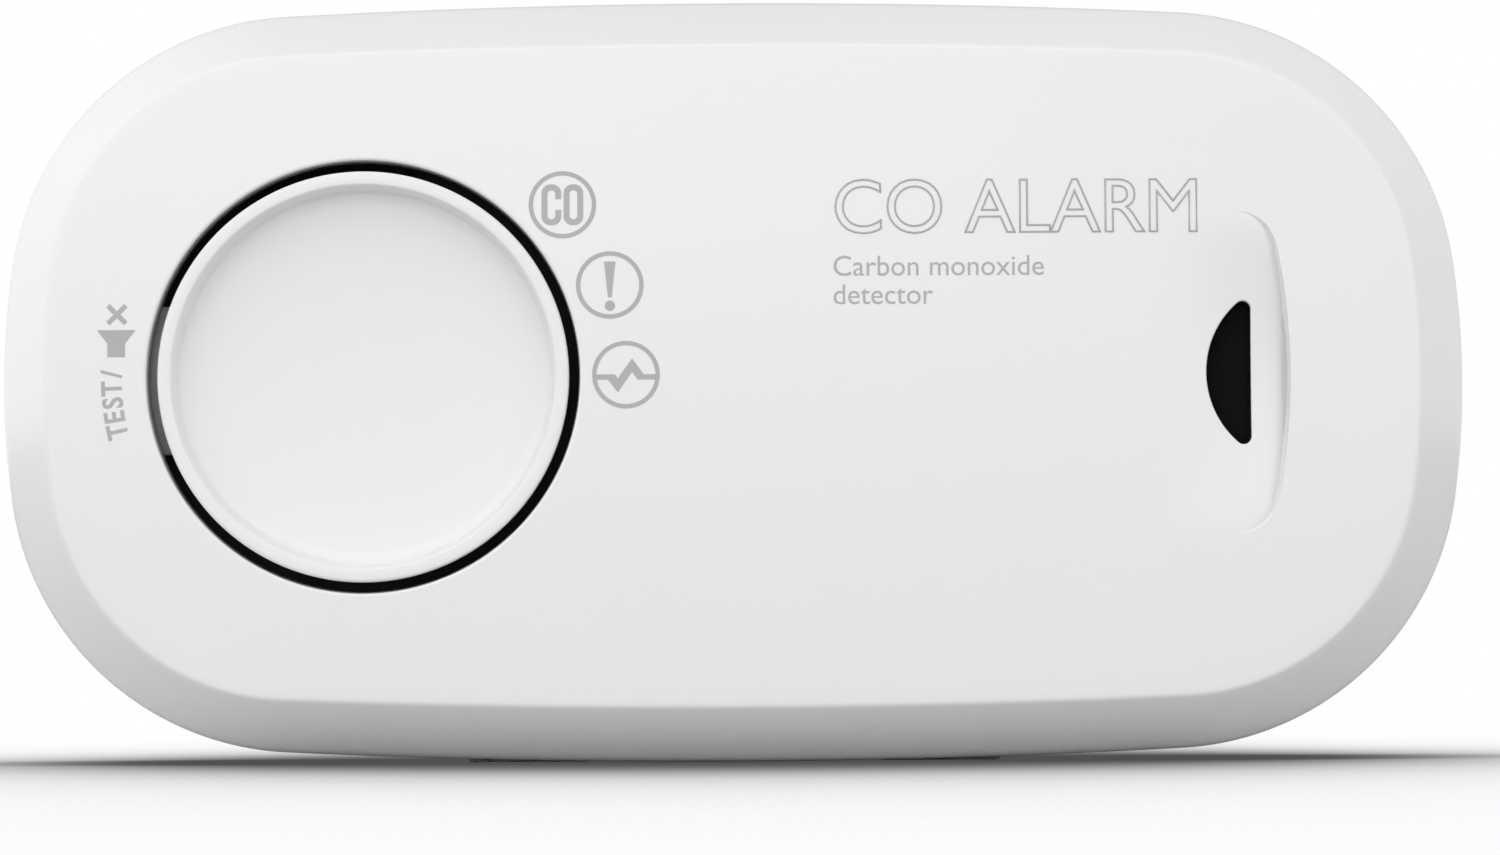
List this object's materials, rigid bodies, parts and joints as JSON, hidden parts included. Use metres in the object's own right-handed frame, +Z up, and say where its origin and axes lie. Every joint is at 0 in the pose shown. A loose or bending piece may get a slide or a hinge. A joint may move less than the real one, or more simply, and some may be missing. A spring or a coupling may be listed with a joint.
{
  "type": "carbon monoxide detector",
  "caption": "Wall or shelf carbon monoxide detector: rounded two-part case with a round dished test button, a half-moon sensor vent and a battery bay with a hinged door.",
  "frame": {"origin": "centre of the case's footprint, on the surface it stands on", "axes": "+Z up, -Y out of the front face, +X to the right seen from the front"},
  "size_m": [0.12, 0.036, 0.0625],
  "materials": {
    "cover_plastic": "glossy white moulded plastic",
    "button_plastic": "white moulded plastic, a little softer than the cover",
    "housing_plastic": "fine-textured white moulded plastic",
    "black_plastic": "satin black moulded plastic",
    "chip_epoxy": "matt black epoxy",
    "board_laminate": "green solder mask over glass laminate",
    "steel": "nickel-plated steel",
    "brass": "rolled brass sheet",
    "piezo_ceramic": "unglazed, silvered ceramic",
    "clear_plastic": "clear polished plastic",
    "red_lens": "tinted clear resin",
    "amber_lens": "tinted clear resin",
    "green_lens": "tinted clear resin",
    "screen_cloth": "fine black woven screen",
    "foam": "closed-cell black foam",
    "cell_sleeve": "printed sleeve over a metal can",
    "label_film": "blank printed film",
    "printed_ink": "grey pad-printed ink"
  },
  "bodies": {
    "root": {"front_cover": "cover_plastic", "rear_housing": "housing_plastic", "switch_body": "black_plastic", "circuit_board": "board_laminate", "light_guide": "clear_plastic", "alarm_led": "red_lens", "fault_led": "amber_lens", "power_led": "green_lens", "sounder_cup": "black_plastic", "sounder_cap": "black_plastic", "sounder_brass_disc": "brass", "sounder_ceramic_disc": "piezo_ceramic", "microcontroller": "chip_epoxy", "amplifier_chip": "chip_epoxy", "boost_inductor": "chip_epoxy", "capacitor": "steel", "vent_screen": "screen_cloth", "sensor_gasket": "foam", "sensor_cap": "steel", "sensor_cell": "black_plastic", "battery_upper": "cell_sleeve", "battery_lower": "cell_sleeve", "contact_spring_upper": "steel", "contact_spring_lower": "steel", "contact_bridge": "steel", "positive_terminal": "steel", "negative_terminal": "steel", "case_screw_1": "steel", "case_screw_2": "steel", "case_screw_3": "steel", "case_screw_4": "steel", "board_screw_1": "steel", "board_screw_2": "steel", "board_screw_3": "steel"},
    "test_button": {"test_button": "button_plastic"},
    "switch_plunger": {"switch_plunger": "black_plastic"},
    "battery_door": {"battery_door": "housing_plastic", "door_latch": "housing_plastic", "rating_label": "label_film"}
  },
  "joints": [
    {"name": "button_press", "type": "hinge", "parent": "root", "child": "test_button", "pos_m": [-0.0505, -0.0138, 0.03125], "axis": [0, 0, 1], "range_deg": [0, 1.1], "stiffness_Nm_per_rad": 4, "springref_deg": -0.23},
    {"name": "switch_travel", "type": "slide", "parent": "root", "child": "switch_plunger", "axis": [0, 1, 0], "range_m": [0, 0.00073]},
    {"name": "door_swing", "type": "hinge", "parent": "root", "child": "battery_door", "pos_m": [0, 0.0162, 0.01465], "axis": [-1, 0, 0], "range_deg": [0, 90], "deforming": ["door_latch"]}
  ],
  "couplings": [
    {"joint": "switch_travel", "follows": "button_press", "m_per_rad": 0.0379}
  ]
}
